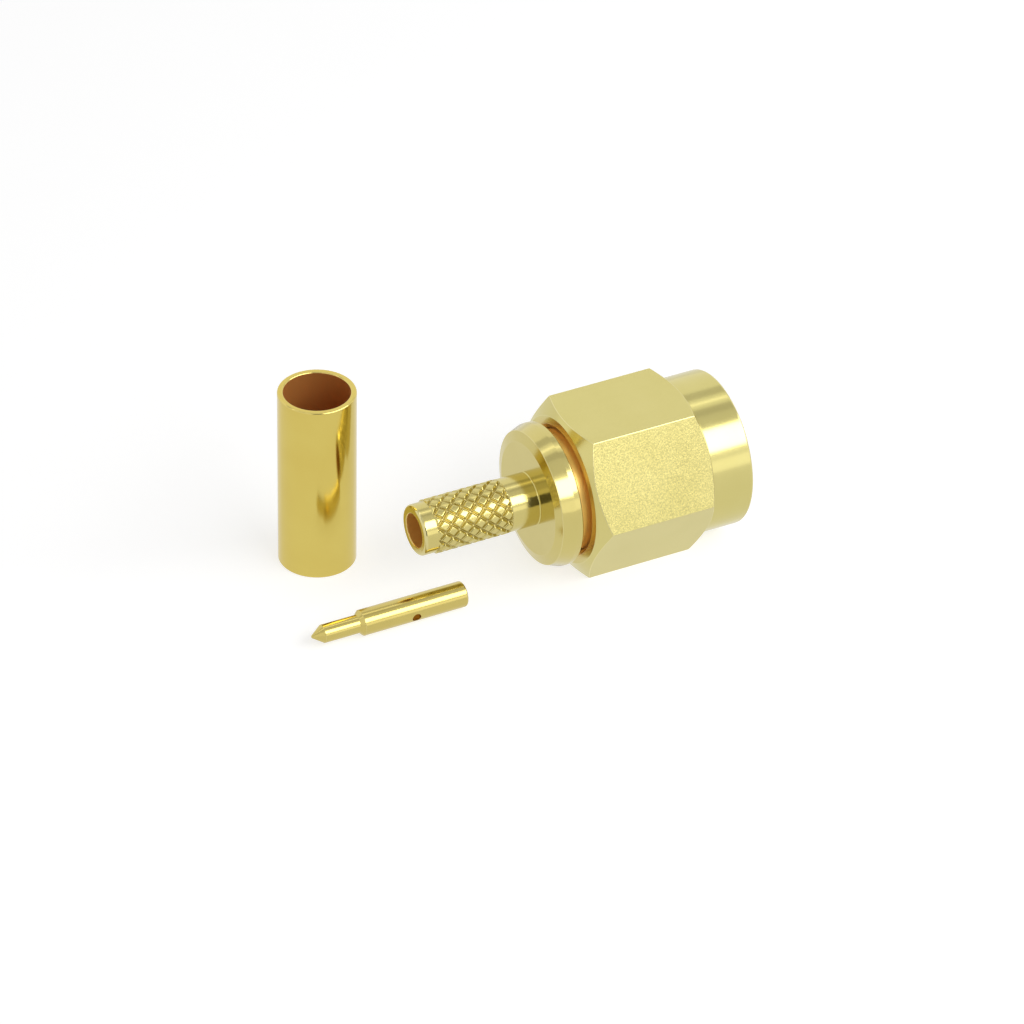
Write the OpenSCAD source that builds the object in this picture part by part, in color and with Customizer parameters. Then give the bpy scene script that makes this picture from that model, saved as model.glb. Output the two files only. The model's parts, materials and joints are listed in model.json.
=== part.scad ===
// Crimp plug of a small coaxial connector, with its loose contact and ferrule.
// Millimetres. The connector's axis is X and points out of its mating end.
// X = 0 is the face that the two mated outer contacts share. Z is up.

/* [Coupling nut] */
// Width across the flats of the hexagon
nut_af = 8; // [7.8:0.1:9]
// Length of the hexagon with both of its chamfers
hex_len = 6.45; // [6.2:0.05:7.5]
// Length of the round collar in front of the hexagon
collar_len = 2.2; // [1.6:0.05:2.8]
// How far the collar lies below the flats
collar_drop = 0.07; // [0:0.01:0.15]
// Rounding of the collar's front edge
collar_round = 0.12; // [0.05:0.01:0.3]
// How far the rear face's edge lies below the flats
face_drop = 0.25; // [0.1:0.01:0.35]
// Slope of the chamfers, counted from the end faces
chamfer_deg = 30; // [20:1:40]
// Largest diameter of the coupling thread
thread_d = 6.35; // [6.3:0.05:6.6]
// Length of the coupling thread
thread_len = 3.9; // [3.4:0.1:4.2]
// Lead-in at the mouth of the thread and at the rear bore
lead_in = 0.22; // [0.1:0.01:0.25]
// How far the nut reaches past the shared face
nut_reach = 2.9; // [2.6:0.05:3.1]

/* [Body] */
// Diameter of the flange behind the nut
flange_d = 7.24; // [6.8:0.02:7.6]
// Thickness of the flange
flange_len = 1.19; // [1.1:0.01:1.5]
// Rounding of the flange's rear edge
flange_round = 0.75; // [0.5:0.01:0.85]
// Chamfer of the flange's front edge
flange_chamfer = 0.12; // [0.05:0.01:0.2]
// Open gap between the flange and the nut
nut_gap = 0.58; // [0.4:0.01:0.8]
// Diameter of the neck that the nut turns on
neck_d = 6.1; // [5.9:0.05:6.2]
// Outside diameter of the outer contact tube
tube_d = 4.59; // [4.5:0.01:4.6]
// Length of the outer contact tube
tube_len = 2; // [1.8:0.05:2.2]
// Chamfer on the tube's front edge
tube_chamfer = 0.06; // [0.03:0.01:0.08]
// Bore that holds the dielectric
socket_d = 4.12; // [4:0.01:4.14]
// Depth of that bore behind the shared face
socket_len = 5.5; // [5.2:0.1:6]

/* [Crimp tail] */
// Length of the tail behind the flange
tail_len = 6.21; // [5.9:0.01:8]
// Diameter of the plain tail next to the flange
tail_d = 2.69; // [2.6:0.01:2.9]
// Bore for the cable's dielectric
tail_bore_d = 1.72; // [1.5:0.01:1.8]
// Length of the plain band at the end of the tail
band_len = 0.72; // [0.5:0.01:1]
// How far the end band lies below the plain tail
band_drop = 0.055; // [0.02:0.005:0.08]
// Rounding of the tail's end
tail_round = 0.16; // [0.05:0.01:0.2]
// Length of the knurled stretch
knurl_len = 4; // [3:0.05:4.2]
// Diamonds round the tail
knurl_count = 12; // [10:1:14]
// Length of one diamond along the tail
knurl_pitch = 0.757; // [0.65:0.001:0.9]
// Depth of the knurl's grooves
knurl_depth = 0.15; // [0.08:0.01:0.16]
// How far the diamonds stand above the plain tail
knurl_rise = 0.02; // [0:0.005:0.04]
// Share of the half pitch that a groove's slope takes up
knurl_slope = 0.66; // [0.5:0.01:0.9]

/* [Snap ring, gasket and dielectric] */
// Thickness of the snap ring along the axis
ring_t = 0.5; // [0.4:0.02:0.6]
// Radial depth of the snap ring's section
ring_w = 0.8; // [0.7:0.01:0.82]
// Opening of the snap ring
ring_open_deg = 40; // [25:1:60]
// Distance of the ring's middle from the nut's rear face
ring_set = 1.5; // [1.3:0.05:1.8]
// How far the snap ring stands into the nut
ring_bite = 0.37; // [0.25:0.01:0.38]
// Thickness of the gasket
gasket_t = 0.9; // [0.7:0.05:0.95]
// How far the gasket's edge lies below the neck
gasket_drop = 0.15; // [0.1:0.01:0.3]
// Length of the dielectric that catches the contact's shoulder
catch_len = 0.75; // [0.5:0.05:1]

/* [Loose contact] */
// Diameter of the contact's barrel
barrel_d = 1.3; // [1.2:0.01:1.4]
// Length of the barrel
barrel_len = 5.55; // [5.2:0.05:6]
// Length of the slope from barrel to pin
step_len = 0.2; // [0.1:0.01:0.3]
// Diameter of the pin
pin_d = 0.92; // [0.88:0.01:0.96]
// Length of the straight pin
pin_len = 1.86; // [1.6:0.02:2]
// Length of the pin's point
point_len = 0.58; // [0.4:0.01:0.7]
// Diameter of the flat on the point
point_d = 0.12; // [0.08:0.01:0.2]
// Rounding of the barrel's open end
barrel_round = 0.12; // [0.05:0.01:0.15]
// Bore for the cable's centre wire
wire_bore_d = 0.58; // [0.5:0.01:0.65]
// Depth of that bore
wire_bore_len = 3.4; // [3.2:0.05:4]
// Diameter of the inspection hole
peep_d = 0.46; // [0.35:0.01:0.5]
// Distance of the inspection hole from the open end
peep_set = 2.83; // [2.6:0.01:2.9]
// Direction of the inspection hole, counted from straight up
peep_deg = 104; // [60:1:120]
// Where the open end lies along the connector
contact_x = -11.79; // [-13:0.01:-11.5]
// Where the contact lies across the connector
contact_y = -1.55; // [-4:0.01:-1.5]

/* [Loose ferrule] */
// Outside diameter of the ferrule
ferrule_d = 3.87; // [3.7:0.01:4.2]
// Inside diameter of the ferrule
ferrule_bore_d = 3.27; // [3.1:0.01:3.4]
// Length of the ferrule
ferrule_len = 9.75; // [9:0.05:10.5]
// Rounding of the ferrule's edges
ferrule_round = 0.08; // [0.04:0.01:0.12]
// Where the ferrule stands along the connector
ferrule_x = -16.41; // [-18:0.01:-16]
// Where the ferrule stands across the connector
ferrule_y = 5.24; // [5:0.01:8]

/* [Clearances] */
// Radial clearance between nut and neck
run_gap = 0.08; // [0.04:0.01:0.1]
// Side clearance of the snap ring in the nut's groove
side_gap = 0.02; // [0.01:0.005:0.03]
// Radial clearance between snap ring and groove floors
floor_gap = 0.08; // [0.05:0.01:0.1]
// Radial clearance round the dielectric and inside the gasket
seat_gap = 0.02; // [0.01:0.005:0.03]
// End play of the nut each way
nut_play = 0.1; // [0.05:0.01:0.15]

/* [Hidden] */
fine = 96;
medium = 64;
small = 40;
over = 0.5;

floor_z = -nut_af / 2;
corner_r = nut_af / 2 / cos(30);
collar_r = nut_af / 2 - collar_drop;
face_r = nut_af / 2 - face_drop;
slope = tan(chamfer_deg);

nut_x1 = nut_reach;
hex_x1 = nut_x1 - collar_len;
nut_x0 = hex_x1 - hex_len;
neck_r = neck_d / 2;
nut_bore_r = neck_r + run_gap;
thread_r = thread_d / 2;
thread_x = nut_x1 - thread_len;

flange_x1 = nut_x0 - nut_gap;
flange_x0 = flange_x1 - flange_len;
flange_r = flange_d / 2;
tail_x0 = flange_x0 - tail_len;
tail_r = tail_d / 2;
band_r = tail_r - band_drop;
knurl_x0 = tail_x0 + band_len;
knurl_x1 = knurl_x0 + knurl_len;
knurl_top_r = tail_r + knurl_rise;
knurl_low_r = knurl_top_r - knurl_depth;
core_r = knurl_low_r - 0.015;
sleeve_r = core_r - 0.1;

ring_x = nut_x0 + ring_set;
ring_out_r = nut_bore_r + ring_bite;
ring_in_r = ring_out_r - ring_w;
nut_groove_r = ring_out_r + floor_gap;
nut_groove_w = ring_t + 2 * side_gap;
body_groove_r = ring_in_r - floor_gap;
body_groove_w = ring_t + 2 * (nut_play + side_gap);

socket_r = socket_d / 2;
tube_r = tube_d / 2;
bead_r = socket_r - seat_gap;
catch_r = pin_d / 2 + seat_gap;
bead_bore_r = barrel_d / 2 + seat_gap;
gasket_in_r = tube_r + seat_gap;
gasket_r = neck_r - gasket_drop;

// Steps of the knurl mesh: whole ones in every diamond, both ways
knurl_div = 6;
knurl_around = knurl_count * knurl_div;
knurl_steps = round(knurl_len / knurl_pitch * knurl_div);

// Turns a shape drawn along Z so that it runs along X
module along_x() {
    rotate([0, 90, 0])
        children();
}

// A ring cut round the connector's axis from x0 to x1
module groove(x0, x1, r_in, r_out, facets) {
    along_x()
        rotate_extrude($fn = facets)
            translate([r_in, x0])
                square([r_out - r_in, x1 - x0]);
}

// Height of a diamond at a step round and a step along, from 0 to 1
function wave(n) = abs(((n % knurl_div) + knurl_div) % knurl_div - knurl_div / 2);
function rise(n) = 1 - wave(n) / (knurl_div / 2);
function ramp(n) = min(1, (1 - rise(n)) / knurl_slope);
function diamond(i, j) = min(ramp(i + j + knurl_div / 2), ramp(i - j + knurl_div / 2));
function knurl_r(i, j) = knurl_low_r + knurl_depth * diamond(i, j);

// The band of crossed grooves, as a closed sleeve round the tail's core
module knurl_sleeve() {
    n = knurl_around;
    m = knurl_steps;
    outer = [
        for (j = [0:m])
            for (i = [0:n - 1])
                let (a = 360 * i / n, r = knurl_r(i, j))
                    [r * cos(a), r * sin(a), knurl_len * j / m]
    ];
    inner = [
        for (z = [0, knurl_len])
            for (i = [0:n - 1])
                let (a = 360 * i / n)
                    [sleeve_r * cos(a), sleeve_r * sin(a), z]
    ];
    low = (m + 1) * n;
    high = low + n;
    top = m * n;
    skin = [
        for (j = [0:m - 1])
            for (i = [0:n - 1])
                let (k = (i + 1) % n, a = j * n + i, b = j * n + k, c = a + n, d = b + n)
                    each (i + j) % 2 == 0 ? [[a, d, b], [a, c, d]] : [[a, c, b], [b, c, d]]
    ];
    lining = [
        for (i = [0:n - 1])
            let (k = (i + 1) % n)
                each [[low + i, low + k, high + k], [low + i, high + k, high + i]]
    ];
    ends = [
        for (i = [0:n - 1])
            let (k = (i + 1) % n)
                each [
                    [i, k, low + k], [i, low + k, low + i],
                    [top + k, top + i, high + i], [top + k, high + i, high + k]
                ]
    ];
    polyhedron(points = concat(outer, inner), faces = concat(skin, lining, ends));
}

// Outline of the turned body, from the tail's end to the outer contact
module body_outline() {
    difference() {
        union() {
            translate([0, tail_x0 + tail_round])
                square([band_r, knurl_x0 - tail_x0 - tail_round]);
            translate([0, tail_x0])
                square([band_r - tail_round, tail_round + over / 10]);
            translate([band_r - tail_round, tail_x0 + tail_round])
                circle(tail_round, $fn = small);
            translate([0, knurl_x0])
                square([core_r, knurl_len]);
            translate([0, knurl_x1])
                square([tail_r, flange_x0 - knurl_x1]);
            translate([0, flange_x0])
                square([flange_r - flange_round, flange_len]);
            translate([0, flange_x0 + flange_round])
                square([flange_r, flange_len - flange_round - flange_chamfer]);
            translate([flange_r - flange_round, flange_x0 + flange_round])
                intersection() {
                    circle(flange_round, $fn = small);
                    translate([0, -flange_round])
                        square(flange_round);
                }
            polygon([
                [0, flange_x1 - flange_chamfer], [flange_r, flange_x1 - flange_chamfer],
                [flange_r - flange_chamfer, flange_x1], [0, flange_x1]
            ]);
            translate([0, flange_x1])
                square([neck_r, -tube_len - flange_x1]);
            polygon([
                [0, -tube_len], [tube_r, -tube_len],
                [tube_r, -tube_chamfer], [tube_r - tube_chamfer, 0], [0, 0]
            ]);
        }
        translate([body_groove_r, ring_x - body_groove_w / 2])
            square([flange_r, body_groove_w]);
        translate([-over, tail_x0 - over])
            square([over, -tail_x0 + 2 * over]);
    }
}

module connector_body() {
    color("gold")
        difference() {
            union() {
                along_x()
                    rotate_extrude($fn = fine)
                        body_outline();
                translate([knurl_x0, 0, 0])
                    along_x()
                        knurl_sleeve();
            }
            translate([-socket_len, 0, 0])
                along_x()
                    cylinder(h = socket_len + over, r = socket_r, $fn = fine);
            translate([tail_x0 - over, 0, 0])
                along_x()
                    cylinder(h = -tail_x0 + over, d = tail_bore_d, $fn = medium);
        }
}

// Envelope that cuts the hexagon's corners at both ends
module hex_envelope() {
    reach = corner_r + over;
    along_x()
        rotate_extrude($fn = fine)
            polygon([
                [0, nut_x0], [face_r, nut_x0],
                [reach, nut_x0 + (reach - face_r) * slope],
                [reach, hex_x1 - (reach - collar_r) * slope],
                [collar_r, hex_x1], [0, hex_x1]
            ]);
}

module collar() {
    along_x()
        rotate_extrude($fn = fine)
            union() {
                translate([0, hex_x1 - over])
                    square([collar_r, collar_len + over - collar_round]);
                translate([0, hex_x1 - over])
                    square([collar_r - collar_round, collar_len + over]);
                translate([collar_r - collar_round, nut_x1 - collar_round])
                    circle(collar_round, $fn = small);
            }
}

// Everything turned out of the nut: bore, ring groove, thread bore, lead-ins
module nut_hollow() {
    along_x()
        rotate_extrude($fn = fine)
            polygon([
                [0, nut_x0 - over],
                [nut_bore_r + lead_in + over, nut_x0 - over],
                [nut_bore_r + lead_in, nut_x0],
                [nut_bore_r, nut_x0 + lead_in],
                [nut_bore_r, ring_x - nut_groove_w / 2],
                [nut_groove_r, ring_x - nut_groove_w / 2],
                [nut_groove_r, ring_x + nut_groove_w / 2],
                [nut_bore_r, ring_x + nut_groove_w / 2],
                [nut_bore_r, thread_x],
                [thread_r, thread_x],
                [thread_r, nut_x1 - lead_in],
                [thread_r + lead_in, nut_x1],
                [thread_r + lead_in + over, nut_x1 + over],
                [0, nut_x1 + over]
            ]);
}

module coupling_nut() {
    color("goldenrod")
        difference() {
            union() {
                intersection() {
                    translate([nut_x0, 0, 0])
                        along_x()
                            rotate([0, 0, 30])
                                cylinder(h = hex_len, r = corner_r, $fn = 6);
                    hex_envelope();
                }
                collar();
            }
            nut_hollow();
        }
}

module snap_ring() {
    half = ring_open_deg / 2;
    reach = 2 * ring_out_r;
    color("silver")
        difference() {
            groove(ring_x - ring_t / 2, ring_x + ring_t / 2, ring_in_r, ring_out_r, fine);
            translate([ring_x - ring_t, 0, 0])
                along_x()
                    linear_extrude(2 * ring_t)
                        polygon([
                            [0, 0],
                            [reach * cos(half), -reach * sin(half)],
                            [reach * cos(half), reach * sin(half)]
                        ]);
        }
}

module gasket() {
    color("firebrick")
        groove(-tube_len, gasket_t - tube_len, gasket_in_r, gasket_r, fine);
}

module dielectric() {
    color("white")
        difference() {
            translate([-socket_len, 0, 0])
                along_x()
                    cylinder(h = socket_len, r = bead_r, $fn = fine);
            translate([-socket_len - over, 0, 0])
                along_x()
                    cylinder(h = socket_len - catch_len + over, r = bead_bore_r, $fn = small);
            translate([-socket_len, 0, 0])
                along_x()
                    cylinder(h = socket_len + over, r = catch_r, $fn = small);
        }
}

// The contact lies on its barrel beside the tail, its point away from the nut
module center_contact() {
    barrel_r = barrel_d / 2;
    pin_r = pin_d / 2;
    pin_x0 = barrel_len + step_len;
    point_x0 = pin_x0 + pin_len;
    color("gold")
        translate([contact_x, contact_y, floor_z + barrel_r])
            rotate([0, -90, 0])
                difference() {
                    rotate_extrude($fn = medium)
                        union() {
                            polygon([
                                [0, 0], [barrel_r - barrel_round, 0],
                                [barrel_r - barrel_round, barrel_round],
                                [barrel_r, barrel_round],
                                [barrel_r, barrel_len], [pin_r, pin_x0], [pin_r, point_x0],
                                [point_d / 2, point_x0 + point_len], [0, point_x0 + point_len]
                            ]);
                            translate([barrel_r - barrel_round, barrel_round])
                                circle(barrel_round, $fn = small);
                        }
                    translate([0, 0, -over])
                        cylinder(h = wire_bore_len + over, d = wire_bore_d, $fn = small);
                    translate([0, 0, peep_set])
                        rotate([-90, 0, peep_deg - 90])
                            cylinder(h = barrel_d, d = peep_d, $fn = small);
                }
}

module crimp_ferrule() {
    out_r = ferrule_d / 2;
    in_r = ferrule_bore_d / 2;
    wall = out_r - in_r;
    color("gold")
        translate([ferrule_x, ferrule_y, floor_z])
            rotate_extrude($fn = fine)
                union() {
                    translate([in_r, ferrule_round])
                        square([wall, ferrule_len - 2 * ferrule_round]);
                    translate([in_r + ferrule_round, 0])
                        square([wall - 2 * ferrule_round, ferrule_len]);
                    for (r = [in_r + ferrule_round, out_r - ferrule_round])
                        for (z = [ferrule_round, ferrule_len - ferrule_round])
                            translate([r, z])
                                circle(ferrule_round, $fn = small);
                }
}

connector_body();
coupling_nut();
snap_ring();
gasket();
dielectric();
center_contact();
crimp_ferrule();
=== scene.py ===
import json
import math
import bpy
from mathutils import Matrix, Vector


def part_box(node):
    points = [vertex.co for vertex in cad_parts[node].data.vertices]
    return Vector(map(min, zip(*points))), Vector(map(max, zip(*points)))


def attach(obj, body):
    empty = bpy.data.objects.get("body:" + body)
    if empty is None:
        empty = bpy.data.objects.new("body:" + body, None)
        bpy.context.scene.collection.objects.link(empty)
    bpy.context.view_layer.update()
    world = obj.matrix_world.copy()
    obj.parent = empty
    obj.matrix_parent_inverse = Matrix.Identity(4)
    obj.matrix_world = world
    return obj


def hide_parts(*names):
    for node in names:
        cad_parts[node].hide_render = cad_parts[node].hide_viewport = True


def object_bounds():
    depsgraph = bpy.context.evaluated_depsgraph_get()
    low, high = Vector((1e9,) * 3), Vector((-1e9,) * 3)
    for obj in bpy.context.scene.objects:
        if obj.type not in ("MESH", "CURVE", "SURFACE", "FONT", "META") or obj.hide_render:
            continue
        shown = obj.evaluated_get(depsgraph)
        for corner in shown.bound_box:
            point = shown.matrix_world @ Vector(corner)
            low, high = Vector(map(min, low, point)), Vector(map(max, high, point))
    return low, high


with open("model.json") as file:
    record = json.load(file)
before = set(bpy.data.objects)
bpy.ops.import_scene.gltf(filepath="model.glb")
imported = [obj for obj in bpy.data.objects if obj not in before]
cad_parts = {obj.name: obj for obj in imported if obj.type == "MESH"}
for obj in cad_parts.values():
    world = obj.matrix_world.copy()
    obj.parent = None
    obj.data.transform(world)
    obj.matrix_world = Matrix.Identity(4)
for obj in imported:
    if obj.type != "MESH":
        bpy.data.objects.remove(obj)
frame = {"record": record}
cadLow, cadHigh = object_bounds()
mm = 0.001
hair = 0.01 * mm
quarterTurn = math.radians(90)
mounts = {m["name"]: m for m in frame["record"]["mounts"]}
print("scene: frame loaded")


def mountRadius(name):
    return mounts[name]["dims"]["r_mm"] * mm


# Meshes from outlines

def newObject(name, data):
    made = bpy.data.objects.new(name, data)
    bpy.context.scene.collection.objects.link(made)
    return made


def addMark(mesh, name, values):
    # one value a point, which the finishes read
    mesh.attributes.new(name, "FLOAT", "POINT").data.foreach_set("value", values)


def acrossX(angle):
    # a direction square to the X axis, turned from straight up towards -Y
    return Vector((0, -math.sin(angle), math.cos(angle)))


def roundCorners(corners, steps, closed=True):
    # corners are (along, radius, rounding); an open end has the way it faces as its third value
    # the outline's points are (along, radius, normal, edge share)
    outline, leastTurn = [], 0.001
    last = len(corners) - 1
    for i, (along, radius, rounding) in enumerate(corners):
        if not closed and i in (0, last):
            outline.append((along, radius, Vector((rounding, 0)), 0.0))
            continue
        corner = Vector((along, radius))
        before = (corner - Vector(corners[i - 1][:2])).normalized()
        after = (Vector(corners[(i + 1) % len(corners)][:2]) - corner).normalized()
        turn = math.atan2(before.x * after.y - before.y * after.x, before.dot(after))
        normal = Vector((before.y, -before.x))
        if rounding == 0 or abs(turn) < leastTurn:
            outline.append((along, radius, Matrix.Rotation(turn / 2, 2) @ normal, 0.0))
            continue
        side = math.copysign(1, turn)
        centre = corner - before * rounding * math.tan(abs(turn) / 2) - normal * rounding * side
        for k in range(steps + 1):
            share = k / steps
            leaning = Matrix.Rotation(turn * share, 2) @ normal
            point = centre + leaning * rounding * side
            edge = 4 * share * (1 - share) if side > 0 else 0.0
            outline.append((point.x, point.y, leaning, edge))
    return outline


def ringOutline(x0, x1, inner, outer, edge, steps):
    return roundCorners([
        (x0, inner, edge), (x1, inner, edge), (x1, outer, edge), (x0, outer, edge)], steps)


def skinMesh(name, columns, closed, poles=()):
    # columns hold (place, normal, marks) from end to end and are joined all the way round
    # the rows named as poles are one point each
    rows, count = len(columns[0]), len(columns)
    index, points = {}, []
    for c, column in enumerate(columns):
        for r, point in enumerate(column):
            if r in poles and c:
                index[c, r] = index[0, r]
            else:
                index[c, r] = len(points)
                points.append(point)
    faces = []
    for c in range(count):
        d = (c + 1) % count
        for r in range(rows if closed else rows - 1):
            s = (r + 1) % rows
            corners = (index[c, r], index[c, s], index[d, s], index[d, r])
            faces.append(tuple(dict.fromkeys(corners)))
    mesh = bpy.data.meshes.new(name)
    mesh.from_pydata([p[0] for p in points], [], faces)
    mesh.update()
    widest = max(mesh.polygons, key=lambda face: face.area)
    outward = sum((points[v][1] for v in widest.vertices), Vector())
    if widest.normal.dot(outward) < 0:
        mesh.flip_normals()
    for mark in points[0][2]:
        addMark(mesh, mark, [p[2][mark] for p in points])
    mesh.shade_smooth()
    return newObject(name, mesh), [p[1] for p in points]


def lathePiece(name, outline, sides, closed=True, place=None, poles=(), marks=None, inner=None):
    # turns an outline about the X axis, then moves it to its place
    # marks says which rows get the knurl, and inner says what lies inside
    place = place or Matrix.Identity(4)
    turned, lengths = 0.0, []
    for i, point in enumerate(outline):
        if i:
            turned += math.dist(point[:2], outline[i - 1][:2])
        lengths.append(turned)
    columns = []
    for c in range(sides):
        outward = acrossX(2 * math.pi * c / sides)
        column = []
        for i, (along, radius, normal, edge) in enumerate(outline):
            spot = place @ (Vector((along, 0, 0)) + outward * radius)
            facing = place.to_3x3() @ (Vector((normal.x, 0, 0)) + outward * normal.y)
            column.append((spot, facing, {
                "turned": lengths[i], "edge": edge, "flat": 0.0,
                "knurled": marks[i] if marks else 0.0,
                "inner": float(inner(along, radius)) if inner else 0.0}))
        columns.append(column)
    return skinMesh(name, columns, closed, poles)


def setNormals(piece, normals):
    # a zero normal leaves the mesh's own
    piece.data.normals_split_custom_set_from_vertices(normals)


def finishPiece(piece, body, node, material, normals=None):
    if normals:
        setNormals(piece, normals)
    piece.data.materials.clear()
    piece.data.materials.append(material)
    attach(piece, body)
    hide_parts(node)


# Node helpers

def newTree(name, sockets):
    tree = bpy.data.node_groups.new(name, "GeometryNodeTree")
    tree.interface.new_socket("Geometry", in_out="OUTPUT", socket_type="NodeSocketGeometry")
    tree.interface.new_socket("Geometry", in_out="INPUT", socket_type="NodeSocketGeometry")
    for label, kind in sockets:
        tree.interface.new_socket(label, in_out="INPUT", socket_type="NodeSocket" + kind)
    return tree, tree.nodes.new("NodeGroupInput"), tree.nodes.new("NodeGroupOutput")


def addNode(tree, kind, inputs=None, **settings):
    node = tree.nodes.new(kind)
    for key, value in settings.items():
        setattr(node, key, value)
    for key, value in (inputs or {}).items():
        if isinstance(value, bpy.types.NodeSocket):
            tree.links.new(value, node.inputs[key])
        else:
            node.inputs[key].default_value = value
    return node


def mathNode(tree, operation, *values, **settings):
    return addNode(tree, "ShaderNodeMath", dict(enumerate(values)), operation=operation,
                   **settings).outputs[0]


def mixValues(tree, share, low, high):
    return addNode(tree, "ShaderNodeMix", {0: share, 2: low, 3: high}).outputs[0]


def mixTones(tree, share, low, high):
    return addNode(tree, "ShaderNodeMix", {0: share, 6: low, 7: high},
                   data_type="RGBA").outputs[2]


def noiseNode(tree, inputs, **settings):
    return addNode(tree, "ShaderNodeTexNoise", inputs, **settings).outputs["Fac"]


def markNode(tree, name):
    return addNode(tree, "ShaderNodeAttribute", attribute_name=name).outputs["Fac"]


def bumpNode(tree, height):
    return addNode(tree, "ShaderNodeBump", {
        "Height": height, "Distance": 1.0, "Strength": 1.0}).outputs["Normal"]


def closeTree(tree, source, ends, geometry):
    # every tree ends in realized geometry with its material
    realized = addNode(tree, "GeometryNodeRealizeInstances", {"Geometry": geometry})
    painted = addNode(tree, "GeometryNodeSetMaterial", {
        "Geometry": realized.outputs["Geometry"], "Material": source.outputs["Material"]})
    tree.links.new(painted.outputs["Geometry"], ends.inputs["Geometry"])


def keepModifier(piece, modifier):
    # turns what a modifier makes into the piece's own mesh
    seen = piece.evaluated_get(bpy.context.evaluated_depsgraph_get())
    mesh = bpy.data.meshes.new_from_object(seen)
    piece.modifiers.remove(modifier)
    piece.data = mesh
    return mesh


def applyTree(piece, tree, values):
    modifier = piece.modifiers.new(tree.name, "NODES")
    modifier.node_group = tree
    for item in tree.interface.items_tree:
        if item.in_out == "INPUT" and item.name in values:
            modifier[item.identifier] = values[item.name]
    return keepModifier(piece, modifier)


# Finishes

def newMaterial(name):
    material = bpy.data.materials.new(name)
    material.use_nodes = True
    material.node_tree.nodes.clear()
    return material, material.node_tree


# each inside tone is painted reflection between the inner walls, warmer than the outside, and the
# inside glow makes inner faces glow though no lamp is there
goldFinishes = {
    "nutGold": {
        "pale": (0.72, 0.64, 0.26, 1), "deep": (0.65, 0.57, 0.20, 1), "smooth": 0.13,
        "satin": 0.20, "ringDepth": 0.5e-6, "grainDepth": 2.0e-6, "grainScale": 13000,
        "inside": (0.86, 0.58, 0.17, 1), "insideRough": 0.28, "insideMatt": 0.35,
        "insideGlow": 0.02, "wearAndSheen": 0.45},
    "bodyGold": {
        "pale": (0.69, 0.60, 0.23, 1), "deep": (0.63, 0.53, 0.18, 1), "smooth": 0.11,
        "satin": 0.2, "ringDepth": 0.5e-6, "grainDepth": 1e-6, "grainScale": 20000,
        "inside": (0.86, 0.55, 0.15, 1), "insideRough": 0.28, "insideMatt": 0.35,
        "insideGlow": 0.03, "wearAndSheen": 0.3},
    "contactGold": {
        "pale": (0.67, 0.56, 0.18, 1), "deep": (0.61, 0.48, 0.14, 1), "smooth": 0.13,
        "satin": 0.2, "ringDepth": 0.6e-6, "grainDepth": 1e-6, "grainScale": 20000,
        "inside": (0.60, 0.36, 0.12, 1), "insideRough": 0.42, "insideMatt": 0.45,
        "insideGlow": 0.3, "wearAndSheen": 0.22},
    "ferruleGold": {
        "pale": (0.74, 0.60, 0.16, 1), "deep": (0.68, 0.52, 0.12, 1), "smooth": 0.10,
        "satin": 0.2, "ringDepth": 0.15e-6, "grainDepth": 1e-6, "grainScale": 20000,
        "inside": (0.64, 0.28, 0.07, 1), "insideRough": 0.42, "insideMatt": 0.45,
        "insideGlow": 0.0, "wearAndSheen": 0.12},
}
goldShared = {
    "cloudScale": 420.0, "cloudDetail": 3.0, "grainDetail": 2.0, "grainRough": 0.6,
    # the pale edge tone is partly wear and partly painted highlight
    "ringScale": 26000.0, "ringDetail": 2.0, "wornSheenTone": (0.90, 0.84, 0.52, 1),
    # the coarse tone darkens one flat's specks, partly its grain and partly painted shade
    "coarseShadeTone": (0.36, 0.32, 0.12, 1), "speckleLow": 0.38, "speckleHigh": 0.62,
    # the groove tone paints shade into the knurl's grooves
    "speckleShare": 0.5, "grooveShadeTone": (0.32, 0.24, 0.07, 1), "grooveShare": 0.5,
    "grooveRough": 0.2, "knurlRough": 0.06, "cloudRough": 0.06, "edgeSmooth": 0.04,
}


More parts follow.
